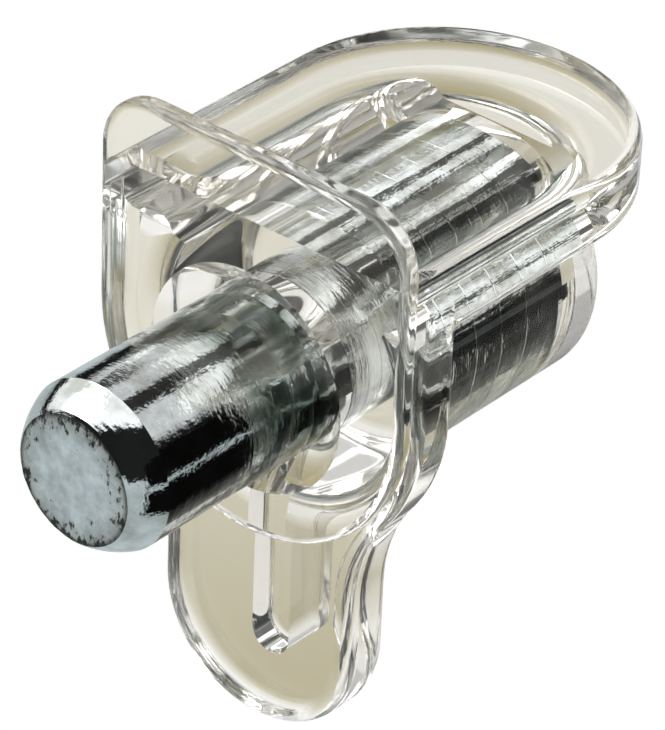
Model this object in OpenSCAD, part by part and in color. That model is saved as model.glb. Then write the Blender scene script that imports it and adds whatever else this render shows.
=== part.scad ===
// Plug-in shelf support: a steel pin with a clear housing moulded round it.
// The pin goes into a hole in a cabinet side, and the shelf lies on the housing's plate.
// X runs across, Y runs along the pin away from the cabinet side, Z is up.
// The origin is on the pin's axis, in the plane of the flange's front face.

/* [Pin] */
// Diameter of the pin
pin_d = 5; // [4:0.1:6]
// Length of the pin in front of the flange
pin_out = 6.75; // [5:0.05:12]
// Length of the pin behind the flange's front face
pin_in = 10.05; // [8:0.05:12]
// Length of the chamfer on the outer end, along the axis
tip_length = 1; // [0.3:0.05:1.2]
// Height of the chamfer on the outer end, across the axis
tip_drop = 0.58; // [0.3:0.02:1]
// Chamfer on the inner end
tail_chamfer = 0.5; // [0.1:0.1:1]
// Width of the waist at the mouth of the housing, where the free stretch ends
waist_w = 0.6; // [0.55:0.05:0.7]
// Depth of the waist
waist_d = 0.05; // [0.03:0.01:0.2]
// Depth of the grip grooves round the buried stretch
groove_depth = 0.05; // [0.02:0.01:0.1]
// Width of one grip groove
groove_w = 0.12; // [0.05:0.01:0.2]
// Distance between two grip grooves
groove_pitch = 1.1; // [0.5:0.1:1.2]
// Number of grip grooves
groove_count = 5; // [1:1:5]

/* [Flange] */
// How far the flange and the leg stand out past the sleeve on each side
body_past = 1.32; // [1:0.01:2.5]
// Height of the centre of the round lower end above the pin's axis
flange_rise = 0.5; // [0.4:0.1:1]
// Height of the lip above the shelf plate
lip_rise = 2.27; // [2:0.01:5]
// Radius of the lip's upper corners
lip_corner = 1.8; // [0.8:0.1:1.8]
// Thickness of the flange and its lip
flange_t = 0.65; // [0.62:0.01:1.2]
// Radius of the flange's outer edges
flange_edge = 0.25; // [0.1:0.01:0.3]

/* [Leg and tongue] */
// How far the leg reaches into the flange
leg_lap = 0.05; // [0.02:0.01:0.2]
// Distance from the flange's front to the back of the leg and the tongue
leg_back = 2.42; // [2.1:0.01:3]
// Radius of the outer edges of the leg and the tongue
leg_edge = 0.5; // [0.2:0.05:0.6]
// Half width of the tongue
tongue_half = 3.47; // [2.8:0.01:3.8]
// Distance from the pin's axis down to the end of the tongue
tongue_reach = 11.68; // [10:0.01:16]
// Radius of the hollow where the leg narrows to the tongue
neck_r = 5.5; // [1:0.1:6]

/* [Shelf plate] */
// Height of the plate's upper face, on which the shelf lies, above the sleeve
plate_rise = 0.67; // [0.5:0.01:1]
// Thickness of the plate
plate_t = 2; // [1.4:0.05:2.4]
// How far the plate's sides stay inside the flange's
plate_in = 0.03; // [0:0.01:0.5]
// How far the plate's tip reaches past the sleeve
plate_past = 3.15; // [2:0.05:8]
// Radius of the plate's outer edges
plate_edge = 0.4; // [0.2:0.05:0.6]
// Radius of the fillet under the plate, where it meets the leg
plate_fillet = 0.7; // [0.3:0.1:1]

/* [Sleeve] */
// Wall of the sleeve round the pin
sleeve_wall = 1.59; // [1.1:0.01:2]
// Thickness of the sleeve's closed end
sleeve_cap = 0.45; // [0.3:0.05:1]
// Radius of the edge of the sleeve's closed end
sleeve_edge = 0.5; // [0.2:0.1:0.8]
// Radius of the fillet between the sleeve and the leg
sleeve_fillet = 0.9; // [0.3:0.1:1]
// How far the web between the sleeve and the plate stays inside the sleeve's sides
web_in = 0.66; // [0.6:0.01:1.2]
// How far the web's round end reaches past the sleeve
web_past = 0.6; // [0.3:0.05:1]
// Radius of the fillet between the web and the plate
web_fillet = 1; // [0.3:0.05:1.1]

/* [Rib] */
// Half thickness of the rib behind the tongue
rib_half = 0.68; // [0.4:0.02:1.2]
// Height of the rib above the tongue's back face
rib_h = 1.9; // [0.8:0.1:2.4]
// Distance from the rib's round lower end to the end of the tongue
rib_short = 1.8; // [1:0.05:4]
// Radius of the rib's edges
rib_edge = 0.2; // [0.1:0.05:0.3]

/* [Fits] */
// Radial gap between the pin and the bore of the housing
bore_gap = 0.02; // [0.01:0.01:0.05]
// Gap between the pin's inner end and the bottom of the bore
end_gap = 0.05; // [0.02:0.01:0.2]
// How far the sloping mouth of the bore opens out past the bore
mouth_past = 0.9; // [0.3:0.1:1.2]
// Depth of the sloping mouth from the flange's front
mouth_d = 1.1; // [0.6:0.05:1.5]

/* [Hidden] */
$fn = 48;
pin_r = pin_d / 2;
bore_r = pin_r + bore_gap;
bore_end = pin_in + end_gap;
sleeve_r = bore_r + sleeve_wall;
sleeve_end = bore_end + sleeve_cap;
body_half = sleeve_r + body_past;
plate_half = body_half - plate_in;
plate_top = sleeve_r + plate_rise;
plate_z = plate_top - plate_t;
plate_mid = plate_top - plate_t / 2;
plate_end = sleeve_end + plate_past - plate_half;
lip_top = plate_top + lip_rise;
leg_front = flange_t - leg_lap;
web_half = sleeve_r - web_in;
web_end = sleeve_end + web_past - web_half;
// The web starts where its fillet does, or lower, where its edges stand in the sleeve
web_low = round(100 * sqrt(sleeve_r * sleeve_r - web_half * web_half)) / 100 - 0.05;
web_z = min(plate_z - web_fillet, web_low);
mouth_slope = mouth_past / mouth_d;
// The hollow beside the tongue touches the tongue's side, and the leg's round end stands
// into it by the lap; its height is kept to a hundredth of a millimetre
neck_lap = 0.02;
neck_x = tongue_half + neck_r;
neck_z = -round(100 * sqrt(pow(body_half + neck_r - neck_lap, 2) - neck_x * neck_x)) / 100;
neck_turn = atan2(-neck_z, neck_x);
tongue_z = tongue_half - tongue_reach;
rib_z = rib_half + rib_short - tongue_reach;
// How wide the rounded rims are, how far the flat filling stays inside them, and how deep
// one filling reaches into the next
inset = leg_edge + 0.6;
fill = leg_edge + 0.4;
overlap = 0.3;
// How far a cutting shape stands clear of the face that it cuts
clear = 1;

// Turns what is drawn along Z so that it runs along Y
module along_y(y) {
    translate([0, y, 0]) rotate([-90, 0, 0]) children();
}

// Draws a flat outline in X and Z and gives it a thickness from y0 to y1
module slab(y0, y1) {
    translate([0, y1, 0]) rotate([90, 0, 0]) linear_extrude(y1 - y0) children();
}

// What is taken off a section's corner at the side of growing X and falling Y
module corner_cut(r) {
    difference() {
        translate([-r, -clear]) square([r + clear, r + clear]);
        translate([-r, r]) circle(r);
    }
}

// Section of a slab from x0 to x1, with its outer corners rounded
module section(x0, x1, y0, y1, low_r, high_r) {
    difference() {
        translate([x0, y0]) square([x1 - x0, y1 - y0]);
        if (low_r > 0) translate([x1, y0]) corner_cut(low_r);
        if (high_r > 0) translate([x1, y1]) mirror([0, 1]) corner_cut(high_r);
    }
}

// The same section on both sides of the middle
module full_section(half, y0, y1, low_r, high_r) {
    section(0, half, y0, y1, low_r, high_r);
    mirror([1, 0]) section(0, half, y0, y1, low_r, high_r);
}

// Lower half of a rounded disc, turned about an axis along Y at the height z
module turned(r, z, y0, y1, low_r, high_r) {
    translate([0, 0, z]) rotate([-90, 0, 0])
        rotate_extrude(angle = 180) section(0, r, y0, y1, low_r, high_r);
}

// One of the lip's upper corners
module lip_quarter() {
    translate([body_half - lip_corner, 0, lip_top - lip_corner]) rotate([-90, 0, 0])
        rotate([0, 0, -90]) rotate_extrude(angle = 90)
            section(0, lip_corner, 0, flange_t, flange_edge, flange_edge);
}

// Flat plate with a round lower end and the lip above
module flange() {
    span = body_half - lip_corner;
    corner_z = lip_top - lip_corner;
    turned(body_half, flange_rise, 0, flange_t, flange_edge, flange_edge);
    translate([0, 0, flange_rise]) linear_extrude(corner_z - flange_rise)
        full_section(body_half, 0, flange_t, flange_edge, flange_edge);
    translate([-span, 0, 0]) rotate([0, 90, 0]) linear_extrude(2 * span)
        mirror([1, 0])
            section(corner_z, lip_top, 0, flange_t, flange_edge, flange_edge);
    lip_quarter();
    mirror([1, 0, 0]) lip_quarter();
}

// Edge of the hollow between the leg and the tongue on one side
module neck() {
    translate([neck_x, 0, neck_z]) rotate([-90, 0, 0]) rotate([0, 0, 180])
        rotate_extrude(angle = neck_turn)
            translate([neck_r + inset, 0]) mirror([1, 0])
                section(0, inset, leg_front, leg_back, leg_edge, leg_edge);
}

// Leg behind the flange, narrowing to the tongue
module leg() {
    fill_r = body_half - fill;
    turned(body_half, 0, leg_front, leg_back, leg_edge, leg_edge);
    linear_extrude(plate_mid) full_section(body_half, leg_front, leg_back, leg_edge, leg_edge);
    neck();
    mirror([1, 0, 0]) neck();
    slab(leg_front, leg_back) polygon([
        [fill_r * cos(neck_turn), -fill_r * sin(neck_turn)],
        [tongue_half - fill, neck_z - overlap],
        [fill - tongue_half, neck_z - overlap],
        [-fill_r * cos(neck_turn), -fill_r * sin(neck_turn)]
    ]);
    translate([0, 0, tongue_z]) linear_extrude(neck_z - tongue_z)
        full_section(tongue_half, leg_front, leg_back, leg_edge, leg_edge);
    turned(tongue_half, tongue_z, leg_front, leg_back, leg_edge, leg_edge);
}

// Plate that carries the shelf, with its round end
module plate() {
    slab(flange_t / 2, plate_end) full_section(plate_half, plate_z, plate_top, plate_edge, plate_edge);
    translate([0, plate_end, 0]) rotate_extrude(angle = 180)
        section(0, plate_half, plate_z, plate_top, plate_edge, plate_edge);
    fillet_half = body_half - leg_edge;
    translate([-fillet_half, 0, 0]) rotate([90, 0, 90]) linear_extrude(2 * fillet_half)
        difference() {
            translate([leg_back - inset, plate_z - plate_fillet])
                square([inset + plate_fillet, plate_fillet + plate_t / 2]);
            translate([leg_back + plate_fillet, plate_z - plate_fillet]) circle(plate_fillet);
        }
}

// Half of the web's section, flaring out to the plate
module web_section() {
    fillet_z = plate_z - web_fillet;
    translate([0, web_z]) square([web_half, plate_mid - web_z]);
    difference() {
        translate([0, fillet_z]) square([web_half + web_fillet, plate_mid - fillet_z]);
        translate([web_half + web_fillet, fillet_z]) circle(web_fillet);
    }
}

// Sleeve round the pin, with its fillet at the leg and the web up to the plate
module sleeve() {
    along_y(0) rotate_extrude()
        section(0, sleeve_r, flange_t / 2, sleeve_end, 0, sleeve_edge);
    fillet_r = sleeve_r + sleeve_fillet;
    intersection() {
        along_y(0) rotate_extrude() difference() {
            translate([0, leg_back - inset]) square([fillet_r, inset + sleeve_fillet]);
            translate([fillet_r, leg_back + sleeve_fillet]) circle(sleeve_fillet);
        }
        translate([-fillet_r, 0, -fillet_r])
            cube([2 * fillet_r, sleeve_end, fillet_r + plate_mid]);
    }
    slab(leg_back - inset, web_end) web_section();
    slab(leg_back - inset, web_end) mirror([1, 0]) web_section();
    translate([0, web_end, 0]) rotate_extrude(angle = 180) web_section();
}

// Rib behind the tongue, from the sleeve down to a round end
module rib() {
    rib_front = leg_back - leg_edge;
    rib_back = leg_back + rib_h;
    translate([0, 0, rib_z]) linear_extrude(-rib_z - pin_r - sleeve_cap)
        full_section(rib_half, rib_front, rib_back, 0, rib_edge);
    turned(rib_half, rib_z, rib_front, rib_back, 0, rib_edge);
}

module steel_pin() {
    color([0.72, 0.74, 0.77])
        along_y(0) rotate_extrude() difference() {
            polygon([
                [0, -pin_out],
                [pin_r - tip_drop, -pin_out],
                [pin_r, tip_length - pin_out],
                [pin_r, 0],
                [pin_r - waist_d, waist_w / 2],
                [pin_r, waist_w],
                [pin_r, pin_in - tail_chamfer],
                [pin_r - tail_chamfer, pin_in],
                [0, pin_in]
            ]);
            for (i = [1:groove_count])
                translate([pin_r - groove_depth, leg_back + i * groove_pitch])
                    square([2 * groove_depth, groove_w]);
        }
}

module housing() {
    color([0.93, 0.92, 0.88, 0.45])
        difference() {
            union() {
                flange();
                leg();
                plate();
                sleeve();
                rib();
            }
            along_y(-clear) cylinder(h = bore_end + clear, r = bore_r);
            along_y(-clear) cylinder(
                h = clear + mouth_d + overlap,
                r1 = bore_r + mouth_slope * (mouth_d + clear),
                r2 = bore_r - mouth_slope * overlap
            );
        }
}

steel_pin();
housing();
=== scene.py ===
import math

import bmesh
import bpy
from mathutils import Matrix, Vector, noise


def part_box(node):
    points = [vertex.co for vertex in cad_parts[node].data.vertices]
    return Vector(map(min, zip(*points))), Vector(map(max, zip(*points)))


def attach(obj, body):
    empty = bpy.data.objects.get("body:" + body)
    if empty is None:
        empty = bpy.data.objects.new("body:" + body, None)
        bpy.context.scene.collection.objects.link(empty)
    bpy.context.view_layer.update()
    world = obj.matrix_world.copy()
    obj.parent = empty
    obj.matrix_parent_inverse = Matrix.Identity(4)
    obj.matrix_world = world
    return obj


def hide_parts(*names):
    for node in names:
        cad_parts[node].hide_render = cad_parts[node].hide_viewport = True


bl_info = {
    "name": "Clear shelf support",
    "version": (1, 0, 0),
    "blender": (4, 5, 0),
    "location": "View3D > Sidebar > Shelf support",
    "description": "A steel shelf pin in a clear plastic housing, on a pale studio floor",
    "category": "Object",
}

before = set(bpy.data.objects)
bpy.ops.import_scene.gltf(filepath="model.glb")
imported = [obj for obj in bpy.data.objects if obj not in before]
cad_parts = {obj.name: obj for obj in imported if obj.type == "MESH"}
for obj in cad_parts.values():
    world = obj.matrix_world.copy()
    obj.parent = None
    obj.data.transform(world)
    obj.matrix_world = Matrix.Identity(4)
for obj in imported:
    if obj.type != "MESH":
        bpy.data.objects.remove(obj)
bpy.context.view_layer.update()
MM = 0.001


def mm(value):
    return value * MM


# ---------------------------------------------------------------- sizes and colours

class StageSettings(bpy.types.PropertyGroup):
    """The camera, the floor and the lights."""

    azimuth: bpy.props.FloatProperty(
        name="Azimuth", description="Where the camera stands round the object",
        default=math.radians(39.432), subtype="ANGLE")
    elevation: bpy.props.FloatProperty(
        name="Elevation", description="How high the camera stands",
        default=math.radians(32.775), subtype="ANGLE")
    roll: bpy.props.FloatProperty(
        name="Roll", description="Turn of the camera about its own line of sight",
        default=math.radians(2.34), subtype="ANGLE")
    distance: bpy.props.FloatProperty(
        name="Distance", description="Distance from the camera to the point it looks at",
        default=mm(127.31), unit="LENGTH")
    target: bpy.props.FloatVectorProperty(
        name="Target", description="The point that the camera looks at",
        default=(mm(1.66), mm(1.70), mm(0.40)), size=3, subtype="XYZ_LENGTH")
    lens: bpy.props.FloatProperty(
        name="Lens", description="Focal length in millimetres for a 36 mm sensor",
        default=232.357)
    floor_drop: bpy.props.FloatProperty(
        name="Floor drop", description="How far the floor lies below the pin's axis",
        default=mm(30), unit="LENGTH")
    floor_color: bpy.props.FloatVectorProperty(
        name="Floor colour", description="Colour of the floor", size=3, min=0, max=1,
        default=(0.86, 0.86, 0.85), subtype="COLOR")


class PlasticSettings(bpy.types.PropertyGroup):
    """The clear housing."""

    tint: bpy.props.FloatVectorProperty(
        name="Tint", description="Colour of the clear plastic", size=3, min=0, max=1,
        default=(0.965, 0.96, 0.945), subtype="COLOR")


class SteelSettings(bpy.types.PropertyGroup):
    """The plated steel pin."""

    plating: bpy.props.FloatVectorProperty(
        name="Plating", description="Colour of the plating", size=3, min=0, max=1,
        default=(0.74, 0.78, 0.79), subtype="COLOR")
    tip_length: bpy.props.FloatProperty(
        name="Tip length", description="Length of the free end's chamfer",
        default=mm(1.0), unit="LENGTH")
    tip_drop: bpy.props.FloatProperty(
        name="Tip drop", description="Height of the free end's chamfer",
        default=mm(0.58), unit="LENGTH")
    tail_chamfer: bpy.props.FloatProperty(
        name="Tail chamfer", description="Chamfer on the buried end",
        default=mm(0.5), unit="LENGTH")
    waist_width: bpy.props.FloatProperty(
        name="Waist width", description="Width of the waist at the mouth of the housing",
        default=mm(0.6), unit="LENGTH")
    waist_depth: bpy.props.FloatProperty(
        name="Waist depth", description="Depth of the waist",
        default=mm(0.05), unit="LENGTH")
    grip_start: bpy.props.FloatProperty(
        name="Grip start", description="Where the plastic starts to touch the steel",
        default=mm(3.1), unit="LENGTH")
    grip: bpy.props.FloatProperty(
        name="Grip", description="How far the buried stretch stands out into the plastic",
        default=mm(0.03), unit="LENGTH")
    first_groove: bpy.props.FloatProperty(
        name="First groove", description="Place of the first grip groove behind the flange",
        default=mm(3.52), unit="LENGTH")
    groove_pitch: bpy.props.FloatProperty(
        name="Groove pitch", description="Distance between two grip grooves",
        default=mm(1.1), unit="LENGTH")
    groove_count: bpy.props.IntProperty(
        name="Grooves", description="Number of grip grooves", default=5, min=0, max=8)


# ---------------------------------------------------------------- materials

class Nodes:
    """Short calls for building one node tree.

    A source is a node, whose first output is meant, or a pair of a node and an output's name.
    """

    def __init__(self, tree, output="ShaderNodeOutputMaterial"):
        self.tree = tree
        self.tree.nodes.clear()
        self.out = self.tree.nodes.new(output)

    def node(self, kind, **values):
        """Sets the node's own values by name, and its inputs by theirs, with _ for a space."""
        made = self.tree.nodes.new("ShaderNode" + kind)
        for key, value in values.items():
            if hasattr(made, key):
                setattr(made, key, value)
            else:
                made.inputs[key.replace("_", " ")].default_value = value
        return made

    def link(self, source, target, entry):
        node, output = source if isinstance(source, tuple) else (source, 0)
        self.tree.links.new(node.outputs[output], target.inputs[entry])

    def math(self, operation, first, second):
        """Each of the two is a source or a plain number."""
        made = self.node("Math", operation=operation)
        for entry, source in enumerate((first, second)):
            if isinstance(source, float):
                made.inputs[entry].default_value = source
            else:
                self.link(source, made, entry)
        return made

    def length(self, vector):
        made = self.node("VectorMath", operation="LENGTH")
        self.link(vector, made, 0)
        return made, "Value"

    def dot(self, vector, direction):
        made = self.node("VectorMath", operation="DOT_PRODUCT")
        made.inputs[1].default_value = direction
        self.link(vector, made, 0)
        return made, "Value"

    def noise(self, coords, scale, detail=3, rough=0.5):
        made = self.node("TexNoise", Scale=scale, Detail=detail, Roughness=rough)
        self.link(coords, made, "Vector")
        return made

    def fade(self, source, start, end, low=0.0, high=1.0, smooth=False):
        """Goes from low to high as the source goes from start to end."""
        made = self.node("MapRange", interpolation_type="SMOOTHSTEP" if smooth else "LINEAR",
                         From_Min=start, From_Max=end, To_Min=low, To_Max=high)
        self.link(source, made, "Value")
        return made

    def ramp(self, source, stops):
        made = self.node("ValToRGB")
        self.link(source, made, "Fac")
        bar = made.color_ramp
        while len(bar.elements) < len(stops):
            bar.elements.new(0.5)
        for element, (place, color) in zip(bar.elements, stops):
            element.position = place
            element.color = (*color, 1)
        return made

    def bumps(self, shader, layers):
        """Lays bumps over each other, each a source and its height in millimetres."""
        normal = None
        for source, height in layers:
            bump = self.node("Bump", Strength=1.0, Distance=mm(height))
            self.link(source, bump, "Height")
            if normal:
                self.link(normal, bump, "Normal")
            normal = bump
        self.link(normal, shader, "Normal")


def new_material(name):
    material = bpy.data.materials.new(name)
    material.use_nodes = True
    return material, Nodes(material.node_tree)


def grey(level):
    return (level, level, level)


def object_coords(n, scale=(1, 1, 1)):
    mapping = n.node("Mapping", Scale=scale)
    n.link((n.node("TexCoord"), "Object"), mapping, "Vector")
    return mapping


# The tint that the plastic takes on with depth, and how strongly, per metre
DEPTH_TINT = (0.90, 0.89, 0.86, 1)
DEPTH_TINT_DENSITY = 75.0


def clear_plastic(tint):
    """Clear moulded plastic with a faint ripple and haze, slightly warm where it is thick."""
    material, n = new_material("clear_plastic")
    coords = object_coords(n)
    shader = n.node("BsdfPrincipled", Base_Color=(*tint, 1), IOR=1.56,
                    Transmission_Weight=0.98, Specular_Tint=(*grey(0.5), 1))
    ripple = n.node("Bump", Strength=0.04, Distance=mm(0.1))
    n.link(n.noise(coords, scale=260, detail=2), ripple, "Height")
    n.link(ripple, shader, "Normal")
    haze = n.noise(coords, scale=900, detail=4)
    rough = n.ramp(haze, [(0.35, grey(0.015)), (0.75, grey(0.06))])
    n.link(rough, shader, "Roughness")
    n.link(shader, n.out, "Surface")
    depth = n.node("VolumeAbsorption", Color=DEPTH_TINT, Density=DEPTH_TINT_DENSITY)
    n.link(depth, n.out, "Volume")
    return material


# What the painted dark reflection near the mouth of the housing leaves of the plating's colour
MOUTH_REFLECTION_TINT = (0.20, 0.25, 0.22, 1)
# Places along the pin, in millimetres, over which the patches of painted reflection come in and go
# out
MOUTH_REFLECTION_FROM = (-3.2, -1.6)
MOUTH_REFLECTION_TO = (0.2, 1.2)


def painted_mouth_reflection(n, coords, along, color):
    """Paints a dark green-grey reflection in patches on the plating where it goes into the housing.
    """
    comes_in = n.fade(along, mm(MOUTH_REFLECTION_FROM[0]), mm(MOUTH_REFLECTION_FROM[1]), smooth=True)
    goes_out = n.fade(along, mm(MOUTH_REFLECTION_TO[0]), mm(MOUTH_REFLECTION_TO[1]), low=1.0, high=0.0, smooth=True)
    patches = n.ramp(n.noise(coords, scale=620), [(0.42, grey(0.45)), (0.58, grey(1.0))])
    share = n.math("MULTIPLY", n.math("MULTIPLY", comes_in, goes_out), patches)
    mixed = n.node("MixRGB", blend_type="MULTIPLY", Color2=MOUTH_REFLECTION_TINT)
    n.link(share, mixed, "Fac")
    n.link(color, mixed, "Color1")
    return mixed


# What is left of the plating's red, green and blue in the dark of its clouds
CLOUD_DARK = (0.62, 0.61, 0.57)
# Places along the pin, in millimetres, over which the drawn lines come up to full height
DRAWN_FROM = (0.5, 3)
DRAWN_LEAST = 0.15


def plated_steel(plating):
    """Bright plating over drawn wire: cloudy, finely scratched, with soft dents."""
    material, n = new_material("plated_steel")
    coords = object_coords(n)
    lengthwise = object_coords(n, (1, 0.12, 1))
    drawn_out = object_coords(n, (1, 0.03, 1))
    round_about = object_coords(n, (0.35, 2.2, 0.35))
    parts = n.node("SeparateXYZ")
    n.link(coords, parts, 0)
    along = (parts, "Y")
    shader = n.node("BsdfPrincipled", Metallic=1.0)
    cloud = n.noise(coords, scale=900, detail=6, rough=0.6)
    dark = [share * channel for share, channel in zip(CLOUD_DARK, plating)]
    color = n.ramp(cloud, [(0.36, dark), (0.60, plating)])
    # a dark green-grey reflection near the mouth of the housing is painted into the plating's
    # colour
    n.link(painted_mouth_reflection(n, coords, along, color), shader, "Base Color")
    streaks = n.noise(lengthwise, scale=5200, detail=5, rough=0.6)
    rough = n.ramp(streaks, [(0.3, grey(0.03)), (0.75, grey(0.10))])
    n.link(rough, shader, "Roughness")
    dents = n.noise(coords, scale=1300, rough=0.55)
    grain = n.noise(coords, scale=11000, detail=2)
    rings = n.noise(round_about, scale=3000)
    # the drawn lines along the wire show where the pin isn't burnished, behind the flange
    lines = n.noise(drawn_out, scale=1500, rough=0.6)
    buried = n.fade(along, mm(DRAWN_FROM[0]), mm(DRAWN_FROM[1]), low=DRAWN_LEAST)
    ridges = n.math("MULTIPLY", lines, buried)
    n.bumps(shader, [(dents, 0.022), (grain, 0.003), (rings, 0.008), (streaks, 0.004),
                     (ridges, 0.03)])
    n.link(shader, n.out, "Surface")
    return material


# The cut end's pits: the distances from the axis, in millimetres, where they start and where
# they are thickest, and what is taken off their noise at the two
PITS_FROM = 0.9
PITS_FULL = 1.9
PITS_SHARE = (-0.04, 0.24)
PIT_COLOR = (0.05, 0.05, 0.04, 1)
# The cut end's light and dark patches, as shares of the plating's colour
CUT_DARK = 0.74
CUT_LIGHT = 1.22
# How the cut end darkens towards its rim, over this distance from the axis in millimetres
RIM_REACH = 2
RIM_SHADE = [(0.58, (1.0, 1.0, 1.0)), (0.88, (0.74, 0.72, 0.68)), (0.94, (0.25, 0.24, 0.21))]


def cut_steel(plating):
    """The sawn and tumbled end: duller than the side, and dark and pitted at its rim."""
    material, n = new_material("cut_steel")
    coords = object_coords(n)
    shader = n.node("BsdfPrincipled", Metallic=1.0)
    away = n.length(object_coords(n, (1, 0, 1)))
    rim = n.fade(away, mm(PITS_FROM), mm(PITS_FULL), *PITS_SHARE)
    patches = n.ramp(n.noise(coords, scale=1100, detail=2),
                     [(0.36, grey(0.45)), (0.54, grey(1.0))])
    pits = n.noise(object_coords(n, (1, 1, 0.5)), scale=5200, detail=4, rough=0.6)
    worn = n.math("SUBTRACT", pits, n.math("MULTIPLY", rim, patches))
    clean = n.ramp(worn, [(0.25, grey(0.0)), (0.33, grey(1.0))])
    mottle = n.noise(coords, scale=1500, detail=6, rough=0.65)
    tone = n.ramp(mottle, [(0.3, [CUT_DARK * channel for channel in plating]),
                           (0.66, [CUT_LIGHT * channel for channel in plating])])
    shaded = n.node("MixRGB", blend_type="MULTIPLY", Fac=1.0)
    n.link(tone, shaded, "Color1")
    n.link(n.ramp(n.fade(away, 0.0, mm(RIM_REACH)), RIM_SHADE), shaded, "Color2")
    color = n.node("MixRGB", blend_type="MIX", Color1=PIT_COLOR)
    n.link(clean, color, "Fac")
    n.link(shaded, color, "Color2")
    n.link(color, shader, "Base Color")
    rough = n.ramp(mottle, [(0.3, grey(0.5)), (0.7, grey(0.33))])
    n.link(rough, shader, "Roughness")
    n.bumps(shader, [(mottle, 0.05), (clean, 0.02)])
    n.link(shader, n.out, "Surface")
    return material


# What the floor gives off of its own where it is seen, on top of the light that it sends back
FLOOR_GLOW = 0.40
# The floor as the metal mirrors it, in the shade under the object
FLOOR_MIRRORED = (0.57, 0.63, 0.64, 1)
# The floor as it shows through the plastic: from a warm shade under the object to near white,
# over this distance in millimetres
FLOOR_REACH = 100
FLOOR_THROUGH = [(0.34, (0.44, 0.385, 0.215)), (0.62, (0.82, 0.80, 0.70)), (1.0, (1.0, 0.99, 0.96))]


def floor_paint(color):
    """White where it is seen, grey in the metal, and a warm shade through the plastic."""
    material, n = new_material("pale_floor")
    diffuse = n.node("BsdfDiffuse", Color=(*color, 1))
    glow = n.node("Emission", Color=(1, 1, 1, 1), Strength=FLOOR_GLOW)
    lit = n.node("AddShader")
    n.link(diffuse, lit, 0)
    n.link(glow, lit, 1)
    mirrored = n.node("Emission", Color=FLOOR_MIRRORED, Strength=1.0)
    away = n.length((n.node("TexCoord"), "Object"))
    through = n.node("Emission", Strength=1.0)
    n.link(n.ramp(n.fade(away, 0.0, mm(FLOOR_REACH)), FLOOR_THROUGH), through, "Color")
    path = n.node("LightPath")
    look = diffuse
    for ray, other in (("Is Camera Ray", lit), ("Is Glossy Ray", mirrored),
                       ("Is Transmission Ray", through)):
        choice = n.node("MixShader")
        n.link((path, ray), choice, "Fac")
        n.link(look, choice, 1)
        n.link(other, choice, 2)
        look = choice
    n.link(look, n.out, "Surface")
    return material


# ---------------------------------------------------------------- meshes

def mesh_object(name, bm, material, smooth_angle=None):
    mesh = bpy.data.meshes.new(name)
    bm.to_mesh(mesh)
    bm.free()
    obj = bpy.data.objects.new(name, mesh)
    bpy.context.scene.collection.objects.link(obj)
    mesh.materials.append(material)
    if smooth_angle is not None:
        mesh.shade_smooth()
        mesh.set_sharp_from_angle(angle=smooth_angle)
    return obj


def in_order(bm):
    """Puts edges and faces in an order that is the same on each run, which spin's isn't."""
    bm.verts.index_update()
    count = len(bm.verts)
    for parts in (bm.edges, bm.faces):
        parts.sort(key=lambda part: count * min(vert.index for vert in part.verts)
                   + max(vert.index for vert in part.verts))


def spun(profile, steps):
    """Turns a profile of (radius, place along the pin) in millimetres about the pin's axis."""
    bm = bmesh.new()
    verts = [bm.verts.new((mm(r), mm(y), 0)) for r, y in profile]
    edges = [bm.edges.new(pair) for pair in zip(verts, verts[1:])]
    bmesh.ops.spin(bm, geom=verts + edges, cent=(0, 0, 0), axis=(0, 1, 0),
                   angle=2 * math.pi, steps=steps, use_merge=True, use_duplicate=False)
    bmesh.ops.remove_doubles(bm, verts=bm.verts, dist=mm(0.0001))
    bmesh.ops.recalc_face_normals(bm, faces=bm.faces)
    in_order(bm)
    return bm


def off_axis(point):
    """A point's distance from the pin's axis, in millimetres."""
    return Vector((point.x, 0, point.z)).length / MM


# The pin's mesh, with lengths in millimetres: steps round the axis, rings on the cut end, rings
# on its chamfer, the distance between two rings on the side, and where the last of them may be
PIN_STEPS = 192
CUT_RINGS = 22
CHAMFER_RINGS = 9
SIDE_STEP = 0.2
SIDE_END = -0.05
# Edges between faces that meet at a larger angle stay sharp
SHARP_ANGLE = math.radians(8)
# How far the middle and the rim of the cut end lie behind the end of the CAD pin
CUT_SET_BACK = 0.015
CUT_RIM_BACK = 0.02
# Everything nearer to the free end, and to the axis than its rim and this, is the cut end
CUT_ZONE = 0.1
CUT_MARGIN = 0.04
# The pits in it: depth, waves per metre, the fractal's three values, and their least share
PIT_DEPTH = 0.012
PIT_SCALE = 1700
PIT_FRACTAL = (0.8, 2.0, 4)
PIT_LEAST = 0.35
# How far the chamfer is crowned, and which way: outwards and towards the free end
CROWN = 0.05
CROWN_OUT = 0.84
CROWN_AHEAD = 0.54
# Rounding between the chamfer and the side, as steps in from the side and along from the edge
SHOULDER = ((0.02, -0.03), (0, 0.015))
# Rounding of the buried end's edges: its reach onto the chamfer, and onto the faces beside it
TAIL_ON_CHAMFER = 0.03
TAIL_BESIDE = 0.05
# Length over which the steel widens to the plastic
GRIP_SLOPE = 0.15
# Depth of a ring mark, which leaves the steel touching the plastic, and the length of its side
GROOVE_DEPTH = 0.004
GROOVE_SIDE = 0.02


def free_end(settings, tip, face, r):
    """The cut end, its crowned chamfer and the free side, up to the mouth of the housing."""
    length = settings.tip_length / MM
    profile = [(face * t / CUT_RINGS, tip + CUT_SET_BACK) for t in range(CUT_RINGS)]
    profile.append((face, tip + CUT_RIM_BACK))
    for t in range(1, CHAMFER_RINGS):
        share = t / CHAMFER_RINGS
        crown = CROWN * math.sin(math.pi * share)
        profile.append((face + (r - face) * share + crown * CROWN_OUT,
                        tip + length * share - crown * CROWN_AHEAD))
    profile += [(r - inward, tip + length + onward) for inward, onward in SHOULDER]
    place = tip + length + SIDE_STEP
    while place < SIDE_END:
        profile.append((r, place))
        place += SIDE_STEP
    return profile


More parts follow.
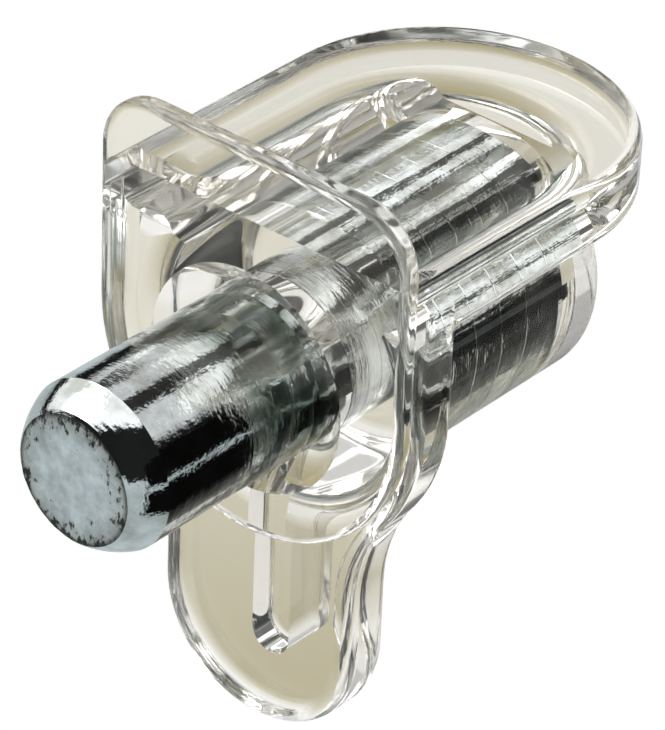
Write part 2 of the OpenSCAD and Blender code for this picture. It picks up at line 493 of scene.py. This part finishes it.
def buried_end(settings, tail, r):
    """The waist, the stretch that touches the plastic with its ring marks, and the far end."""
    waist = settings.waist_width / MM
    held = r + settings.grip / MM
    grip_start = settings.grip_start / MM
    chamfer = settings.tail_chamfer / MM
    profile = [(r, 0), (r - settings.waist_depth / MM, waist / 2), (r, waist),
               (r, grip_start), (held, grip_start + GRIP_SLOPE)]
    for i in range(settings.groove_count):
        start = settings.first_groove / MM + i * settings.groove_pitch / MM
        profile += [(held, start), (held - GROOVE_DEPTH, start + GROOVE_SIDE),
                    (held, start + 2 * GROOVE_SIDE)]
    profile += [(held, tail - chamfer - TAIL_BESIDE),
                (r - TAIL_ON_CHAMFER, tail - chamfer + TAIL_ON_CHAMFER),
                (r - chamfer + TAIL_ON_CHAMFER, tail - TAIL_ON_CHAMFER),
                (r - chamfer - TAIL_BESIDE, tail), (0, tail)]
    return profile


def pit_cut_end(bm, tip, face):
    """Roughens the cut end, more so towards its rim."""
    for vert in bm.verts:
        near = off_axis(vert.co)
        if vert.co.y < mm(tip + CUT_ZONE) and near < face + CUT_MARGIN:
            grain = noise.fractal(vert.co * PIT_SCALE, *PIT_FRACTAL)
            worn = min(1.0, near / face) ** 2
            vert.co.y += mm(PIT_DEPTH) * grain * (PIT_LEAST + worn) + mm(PIT_DEPTH)


class SHELFPIN_OT_pin(bpy.types.Operator):
    """Turn the steel pin and give it its plated finish"""

    bl_idname = "shelfpin.pin"
    bl_label = "Steel pin"

    def execute(self, context):
        settings = context.scene.shelfpin_steel
        low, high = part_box("steel_pin")
        tip, tail, r = low.y / MM, high.y / MM, high.x / MM
        face = r - settings.tip_drop / MM
        profile = free_end(settings, tip, face, r) + buried_end(settings, tail, r)
        bm = spun(profile, PIN_STEPS)
        pit_cut_end(bm, tip, face)
        for side in bm.faces:
            middle = side.calc_center_median()
            is_cut = middle.y < mm(tip + CUT_ZONE) and off_axis(middle) < face
            side.material_index = int(is_cut)
        steel = mesh_object("pin", bm, plated_steel(settings.plating), SHARP_ANGLE)
        steel.data.materials.append(cut_steel(settings.plating))
        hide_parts("steel_pin")
        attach(steel, "root")
        return {"FINISHED"}


class SHELFPIN_OT_housing(bpy.types.Operator):
    """Give the housing its clear plastic"""

    bl_idname = "shelfpin.housing"
    bl_label = "Clear housing"

    def execute(self, context):
        settings = context.scene.shelfpin_plastic
        plastic = clear_plastic(settings.tint)
        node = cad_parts["housing"]
        node.data.materials.clear()
        node.data.materials.append(plastic)
        return {"FINISHED"}


# ---------------------------------------------------------------- stage

# What the room holds, each a direction and the two cosines between which its edge fades in: the
# broad light, the cut that ends it lower down, a small bright box that only glossy faces mirror,
# a dim spot in the light, mirrored by the plate's flat face so that the plate stays clear, and
# the side on which the room is palest where it is seen through the plastic
LIGHT = ((-0.444, 0.537, 0.716), 0.30, 0.42)
LIGHT_CUT = ((0, -0.25, 1), 0.10, 0.18)
BOX = ((-0.58, -0.21, 0.787), 0.93, 0.97)
SPOT = ((-0.534, 0.649, 0.541), 0.988, 0.9945)
ROOM_PALE_SIDE = ((-0.80, 0.33, 0.50), -1.0, 1.0)
# The light's strength behind the object and beside it, between these two parts of the ray's
# direction along the pin, and how many times stronger it is through the plastic
LIGHT_BEHIND = 0.95
LIGHT_BESIDE = 1.7
LIGHT_TURNS = (0.62, 0.15)
LIGHT_THROUGH = 2.0
BOX_LIGHT = 6.0
SPOT_DEPTH = 0.9
# The room's level in reflections, and its darkest and palest level through the plastic
ROOM_DARK = 0.02
ROOM_THROUGH = (0.14, 0.95)

# Dark flags beside, above and below the object, each a flat card with its corners in millimetres
FLAGS = {
    "flag_right_low": {
        "corners": ((31, -15, -29), (18, 48, -29), (18, 48, -7.2), (31, -15, -7.2))},
    "flag_right_high": {
        "corners": ((31, -15, -5), (18, 48, -5), (18, 48, 12), (31, -15, 12))},
    "flag_top": {
        "corners": ((-3.8, 0, 36), (8.5, 0, 36), (8.5, 70, 36), (-3.8, 70, 36)),
        "left_level": 0.05},
    "flag_low": {
        "corners": ((-12, 12, -28), (30, 12, -28), (30, 80, -28), (-12, 80, -28)),
        "pale": ((-0.6, 1, 0), 17.8, 17.0, 0.85), "lets_through": True},
}
# Places across, in millimetres, between which a flag goes from its left level to its right one
FLAG_LEFT = -4
FLAG_RIGHT = 19
FLAG_RIGHT_LEVEL = 0.004
# What is left of a flag's level where it is seen through the plastic
FLAG_THROUGH = 0.45


def flag(name, corners, left_level=0.25, pale=((0, 0, 1), -12, -7, 0.12), lets_through=False):
    """A dark card that is seen only in reflections and through the plastic.

    Through the plastic, part of it is paler: pale is a direction, the places along it, in
    millimetres, where the card stays dark and where it is palest, and the level that it gains.
    A card that lets through shows only in reflections, and not straight through the plastic.
    """
    bm = bmesh.new()
    bm.faces.new([bm.verts.new([mm(v) for v in corner]) for corner in corners])
    material, n = new_material(name)
    coords = object_coords(n)
    parts = n.node("SeparateXYZ")
    n.link(coords, parts, 0)
    path = n.node("LightPath")
    through = (path, "Is Transmission Ray")
    own = n.fade((parts, "X"), mm(FLAG_LEFT), mm(FLAG_RIGHT), left_level, FLAG_RIGHT_LEVEL)
    dimmed = n.math("MULTIPLY", own, n.fade(through, 0.0, 1.0, 1.0, FLAG_THROUGH))
    direction, dark_at, pale_at, added = pale
    paler = n.fade(n.dot(coords, direction), mm(dark_at), mm(pale_at), high=added)
    level = n.math("ADD", dimmed, n.math("MULTIPLY", paler, through))
    card = n.node("Emission", Color=(1, 0.98, 0.93, 1))
    n.link(level, card, "Strength")
    look = card
    if lets_through:
        look = n.node("MixShader")
        n.link(n.math("GREATER_THAN", (path, "Glossy Depth"), 0.5), look, "Fac")
        n.link(n.node("BsdfTransparent"), look, 1)
        n.link(card, look, 2)
    n.link(look, n.out, "Surface")
    obj = mesh_object(name, bm, material)
    obj.visible_camera = False
    obj.visible_diffuse = False
    obj.visible_shadow = False


def studio_world():
    """A dark room with one broad soft light above, behind and to the left."""
    world = bpy.data.worlds.new("studio")
    world.use_nodes = True
    n = Nodes(world.node_tree, "ShaderNodeOutputWorld")
    ray = (n.node("TexCoord"), "Generated")
    parts = n.node("SeparateXYZ")
    n.link(ray, parts, 0)
    path = n.node("LightPath")
    through = (path, "Is Transmission Ray")
    glossy = (path, "Is Glossy Ray")

    def toward(direction, low, high):
        """Goes from 0 to 1 as the ray turns towards the direction."""
        return n.fade(n.dot(ray, direction), low, high, smooth=True)

    shape = n.math("MULTIPLY", toward(*LIGHT), toward(*LIGHT_CUT))
    # the light is strongest beside and in front of the object, and weaker behind it
    level = n.fade((parts, "Y"), *LIGHT_TURNS, LIGHT_BEHIND, LIGHT_BESIDE, smooth=True)
    gain = n.fade(through, 0.0, 1.0, 1.0, LIGHT_THROUGH)
    spot = n.math("MULTIPLY", toward(*SPOT), glossy)
    undimmed = n.math("SUBTRACT", 1.0, n.math("MULTIPLY", spot, SPOT_DEPTH))
    light = n.math("MULTIPLY", n.math("MULTIPLY", shape, undimmed),
                   n.math("MULTIPLY", level, gain))
    # what is seen through the plastic has a paler room round it
    pale = n.fade(toward(*ROOM_PALE_SIDE), 0.0, 1.0, *ROOM_THROUGH)
    room = n.fade(through, 0.0, 1.0, low=ROOM_DARK)
    n.link(pale, room, "To Max")
    box = n.math("MULTIPLY", toward(*BOX), glossy)
    total = n.math("ADD", n.math("MAXIMUM", light, room), n.math("MULTIPLY", box, BOX_LIGHT))
    back = n.node("Background")
    n.link(total, back, "Strength")
    n.link(back, n.out, "Surface")
    return world


def place_camera(scene, settings):
    """Stands the camera round, above and rolled as the settings say, looking at the target."""
    a, e, roll = settings.azimuth, settings.elevation, settings.roll
    back = Vector((math.sin(a) * math.cos(e), -math.cos(a) * math.cos(e), math.sin(e)))
    right = Vector((math.cos(a), math.sin(a), 0))
    up = back.cross(right)
    across = right * math.cos(roll) + up * math.sin(roll)
    above = up * math.cos(roll) - right * math.sin(roll)
    camera = bpy.data.cameras.new("camera")
    camera.sensor_width = 36
    camera.lens = settings.lens
    camera.clip_start = 0.01
    camera.clip_end = 10
    eye = bpy.data.objects.new("camera", camera)
    scene.collection.objects.link(eye)
    eye.rotation_mode = "QUATERNION"
    eye.rotation_quaternion = Matrix((across, above, back)).transposed().to_quaternion()
    eye.location = Vector(settings.target) + back * settings.distance
    scene.camera = eye


# Half the side of the floor, in metres
FLOOR_HALF = 2.0


def lay_floor(settings):
    bm = bmesh.new()
    bmesh.ops.create_grid(bm, x_segments=1, y_segments=1, size=FLOOR_HALF)
    bmesh.ops.translate(bm, vec=(0, 0, -settings.floor_drop), verts=bm.verts)
    mesh_object("floor", bm, floor_paint(settings.floor_color))


class SHELFPIN_OT_stage(bpy.types.Operator):
    """Set up the camera, the floor and the lights"""

    bl_idname = "shelfpin.stage"
    bl_label = "Stage"

    def execute(self, context):
        scene = context.scene
        settings = scene.shelfpin_stage
        place_camera(scene, settings)
        lay_floor(settings)
        scene.world = studio_world()
        for name, looks in FLAGS.items():
            flag(name, **looks)
        # the many faces of the clear plastic need longer light paths than the defaults
        scene.cycles.glossy_bounces = 16
        scene.cycles.transmission_bounces = 24
        scene.cycles.max_bounces = 24
        scene.view_settings.view_transform = "Standard"
        return {"FINISHED"}


# ---------------------------------------------------------------- panel and run

class SHELFPIN_PT_panel(bpy.types.Panel):
    """Lists the steps that make the shelf support"""

    bl_idname = "SHELFPIN_PT_panel"
    bl_label = "Shelf support"
    bl_space_type = "VIEW_3D"
    bl_region_type = "UI"
    bl_category = "Shelf support"

    def draw(self, context):
        for group in ("steel", "plastic", "stage"):
            settings = getattr(context.scene, "shelfpin_" + group)
            for name in settings.__annotations__:
                self.layout.prop(settings, name)
        for step in STEPS:
            self.layout.operator("shelfpin." + step)


STEPS = ("pin", "housing", "stage")
CLASSES = (
    StageSettings, PlasticSettings, SteelSettings,
    SHELFPIN_OT_pin, SHELFPIN_OT_housing, SHELFPIN_OT_stage, SHELFPIN_PT_panel,
)
GROUPS = {
    "shelfpin_stage": StageSettings,
    "shelfpin_plastic": PlasticSettings,
    "shelfpin_steel": SteelSettings,
}


def register():
    for made in CLASSES:
        bpy.utils.register_class(made)
    for name, group in GROUPS.items():
        setattr(bpy.types.Scene, name, bpy.props.PointerProperty(type=group))


def unregister():
    for name in GROUPS:
        delattr(bpy.types.Scene, name)
    for made in reversed(CLASSES):
        bpy.utils.unregister_class(made)


def main():
    register()
    for step in STEPS:
        getattr(bpy.ops.shelfpin, step)()


if __name__ == "__main__":
    main()
